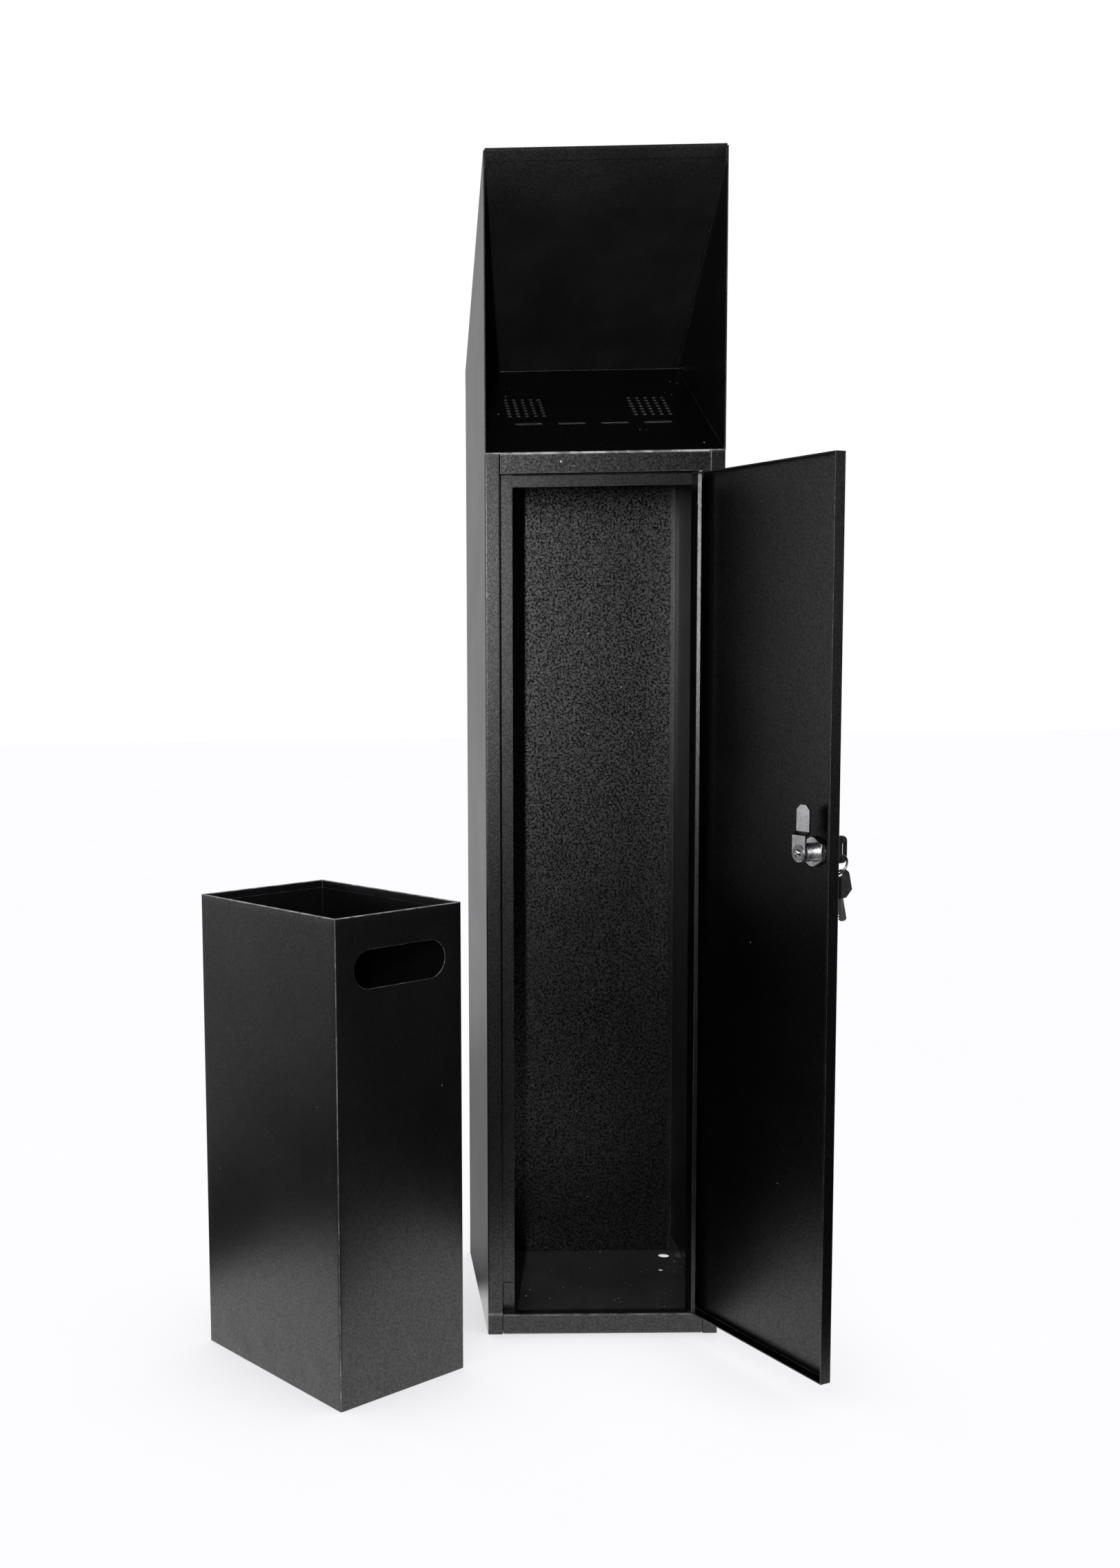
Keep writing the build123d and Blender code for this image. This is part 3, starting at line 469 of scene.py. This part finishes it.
def liner_weld_marks():
    """Rough spot welds down the lapped seam in the liner's corner."""
    mesh_data = bmesh.new()
    for i in range(LINER_WELDS):
        x = LINER_WELD_SPOT[0] + random.uniform(-1.0, 1.0)
        z = LINER_WELD_FIRST + LINER_WELD_STEP * i + random.uniform(-2, 2)
        spot = Vector((x, LINER_WELD_SPOT[1], z)) * MM
        dome(mesh_data, spot, Vector((0, -1, 0)), random.uniform(2.2, 3.0) * MM, LINER_WELD_HEIGHT)
    mesh_data.transform(liner_place())
    new_piece("liner_weld_marks", mesh_data, liner_coat, "liner")


def smooth_step(value, low, high):
    share = min(max((value - low) / (high - low), 0.0), 1.0)
    return share * share * (3 - 2 * share)


def make_dents(half_length):
    """Dents of one wall: place along it, height, spread and depth (negative is outward)."""
    dents = []
    for _ in range(LOW_DENTS):
        dents.append((random.uniform(-0.85, 0.85) * half_length, random.uniform(4, 30) * MM,
                      random.uniform(6, 10) * MM, random.uniform(-1.1, 0.4) * MM))
    for _ in range(SOFT_DENTS):
        dents.append((random.uniform(-0.7, 0.7) * half_length, random.uniform(70, 400) * MM,
                      random.uniform(35, 70) * MM, random.uniform(-0.35, 0.35) * MM))
    return dents


def dent_depth(dents, along, height, half_length):
    """Inward movement of a wall at one place; corners and the seated base stay as they are."""
    total = 0.0
    for place, level, spread, depth in dents:
        apart = ((along - place) ** 2 + (height - level) ** 2) / (2 * spread ** 2)
        total += depth * math.exp(-apart)
    total *= smooth_step(half_length - abs(along), 0.0, 14 * MM)
    total *= 1 - smooth_step(height, LINER_HEIGHT - 60 * MM, LINER_HEIGHT - 25 * MM)
    if total > 0:
        total *= smooth_step(height, 14 * MM, 26 * MM)
    return total


def dented_liner():
    """The liner's shell with the shallow dents of a used sheet metal bin."""
    source = nodes["liner_shell"]
    mesh_data = bmesh.new()
    mesh_data.from_mesh(source.data)
    mesh_data.transform(liner_place().inverted() @ source.matrix_world)
    bmesh.ops.remove_doubles(mesh_data, verts=mesh_data.verts, dist=1e-6)
    half_w, half_d = LINER_HALF
    for axis, low, high in ((0, -half_w, half_w), (1, -half_d, half_d), (2, 0.0, LINER_HEIGHT)):
        count = int((high - low) / DENT_GRID)
        for i in range(1, count):
            place = Vector((0, 0, 0))
            place[axis] = low + (high - low) * i / count
            normal = Vector((0, 0, 0))
            normal[axis] = 1
            geometry = mesh_data.verts[:] + mesh_data.edges[:] + mesh_data.faces[:]
            bmesh.ops.bisect_plane(mesh_data, geom=geometry, plane_co=place, plane_no=normal, dist=1e-7)
    walls = {(axis, side): make_dents((half_d, half_w)[axis]) for axis in (0, 1) for side in (-1, 1)}
    for vert in mesh_data.verts:
        old = vert.co.copy()
        for axis in (0, 1):
            side = math.copysign(1, old[axis])
            if LINER_HALF[axis] - abs(old[axis]) > WALL_REACH:
                continue
            half_length = LINER_HALF[1 - axis]
            vert.co[axis] -= side * dent_depth(walls[(axis, side)], old[1 - axis], old[2], half_length)
    for face in mesh_data.faces:
        face.smooth = True
    mesh_data.transform(liner_place())
    piece = new_piece("liner_shell_dented", mesh_data, liner_coat, "liner")
    piece.data.set_sharp_from_angle(angle=math.radians(25))
    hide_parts("liner_shell")


def floor():
    """White floor with a soft contact shadow; shiny surfaces see it lit only near the object."""
    mesh_data = bmesh.new()
    bmesh.ops.create_grid(mesh_data, x_segments=1, y_segments=1, size=FLOOR_SIZE / 2)
    mesh = bpy.data.meshes.new("floor")
    mesh_data.to_mesh(mesh)
    mesh_data.free()
    plane = bpy.data.objects.new("floor", mesh)
    bpy.context.scene.collection.objects.link(plane)
    plane.location.z = cad_box[0][2] - 0.0002
    shader = Shader("pale_floor")
    mapped = shader.node("Mapping", {"Vector": shader.place, "Location": POOL_SHIFT,
                                     "Scale": POOL_SCALE}).outputs[0]
    spread = shader.node("VectorMath", {0: mapped}, operation="LENGTH").outputs["Value"]
    lit = shader.remap(spread, *POOL_EDGE, FLOOR_DARK, FLOOR_GLOW)
    depth = shader.node("SeparateXYZ", {0: shader.place}).outputs[1]
    lit = shader.maths("ADD", lit, shader.remap(depth, *FLOOR_REAR_FROM, 0.0, FLOOR_REAR))
    lit = shader.maths("ADD", lit, shader.remap(depth, *FLOOR_FAR_FROM, 0.0, REAR_GLOW - FLOOR_REAR))
    seen = shader.node("Emission", {"Color": grey(1.0), "Strength": lit})
    shade = shader.node("AmbientOcclusion", {"Distance": CONTACT_REACH}, samples=8).outputs["AO"]
    mottle = shader.remap(shader.noise(3.0, 3.0), 0.3, 0.7, 0.992, 1.0)
    pale = shader.maths("MULTIPLY", shader.remap(shade, 0.0, 1.0, *CONTACT_TONES), mottle)
    pale = shader.node("Emission", {"Color": grey(1.0), "Strength": pale})
    path = shader.node("LightPath")
    mixed = shader.node("MixShader", {0: path.outputs["Is Camera Ray"], 1: seen.outputs[0], 2: pale.outputs[0]})
    shader.tree.links.new(mixed.outputs[0], shader.tree.nodes["Material Output"].inputs["Surface"])
    mesh.materials.append(shader.material)


def world():
    """White to the camera; shiny surfaces see soft light to the left, behind and to the right."""
    made = bpy.data.worlds.new("studio")
    bpy.context.scene.world = made
    made.use_nodes = True
    tree = made.node_tree
    sky = Shader.__new__(Shader)
    sky.tree = tree
    direction = sky.node("TexCoord").outputs["Generated"]
    along = sky.node("SeparateXYZ", {0: direction}).outputs

    steep = sky.maths("POWER", sky.maths("DIVIDE", along[2], LEFT_BAND), 2.0)
    level = sky.maths("EXPONENT", sky.maths("MULTIPLY", steep, -0.5))
    side = sky.maths("MULTIPLY", sky.remap(along[0], *LEFT_FROM_X),
                     sky.remap(along[1], *LEFT_FROM_Y, 0.0, LEFT_GLOW))
    left = sky.maths("MULTIPLY", level, side)
    front = sky.remap(along[1], *FRONT_FROM_Y, 0.0, FRONT_GLOW)
    rear = sky.maths("MULTIPLY", sky.remap(along[1], *REAR_FROM_Y, SURROUND, REAR_GLOW),
                     sky.remap(along[2], *REAR_FROM_Z, REAR_LOW_SHARE, 1.0))
    right = sky.maths("MULTIPLY", sky.remap(along[0], *RIGHT_FROM_X),
                      sky.remap(along[1], *RIGHT_FROM_Y, 0.0, RIGHT_GLOW))
    right = sky.maths("MULTIPLY", right, sky.remap(along[2], *RIGHT_FROM_Z))
    total = sky.maths("ADD", front, left)
    for glow in (rear, right):
        total = sky.maths("ADD", total, glow)
    seen = sky.node("LightPath").outputs["Is Camera Ray"]
    strength = sky.node("Mix", {0: seen, 2: total, 3: BACKDROP_TONE}, data_type="FLOAT").outputs[0]
    background = tree.nodes["Background"]
    background.inputs["Color"].default_value = grey(1.0)
    tree.links.new(strength, background.inputs["Strength"])


def lamp(name, place, aim, size, power, mirrored):
    """Rectangular lamp; shiny surfaces mirror it only where that is asked for."""
    light = bpy.data.lights.new(name, "AREA")
    light.shape = "RECTANGLE"
    light.size, light.size_y = size
    light.energy = power
    holder = bpy.data.objects.new(name, light)
    holder.location = place
    holder.rotation_euler = (Vector(aim) - Vector(place)).to_track_quat("-Z", "Y").to_euler()
    holder.visible_glossy = mirrored
    bpy.context.scene.collection.objects.link(holder)


def camera():
    data = bpy.data.cameras.new("camera")
    data.sensor_fit = "HORIZONTAL"
    data.sensor_width = CAMERA_SENSOR
    data.lens = CAMERA_LENS
    data.shift_x, data.shift_y = CAMERA_SHIFT
    data.clip_end = 100.0
    view = bpy.data.objects.new("camera", data)
    turn = (Matrix.Rotation(math.radians(-CAMERA_YAW), 4, "Z")
            @ Matrix.Rotation(math.radians(90 + CAMERA_PITCH), 4, "X")
            @ Matrix.Rotation(math.radians(CAMERA_ROLL), 4, "Z"))
    view.matrix_world = Matrix.Translation(CAMERA_PLACE) @ turn
    bpy.context.scene.collection.objects.link(view)
    bpy.context.scene.camera = view


hole_rims()
cabinet_weld_marks()
liner_weld_marks()
dented_liner()

bpy.context.scene.view_settings.view_transform = "Standard"
floor()
world()
lamp("top_light", *TOP_LIGHT)
lamp("camera_light", *CAMERA_LIGHT)
camera()
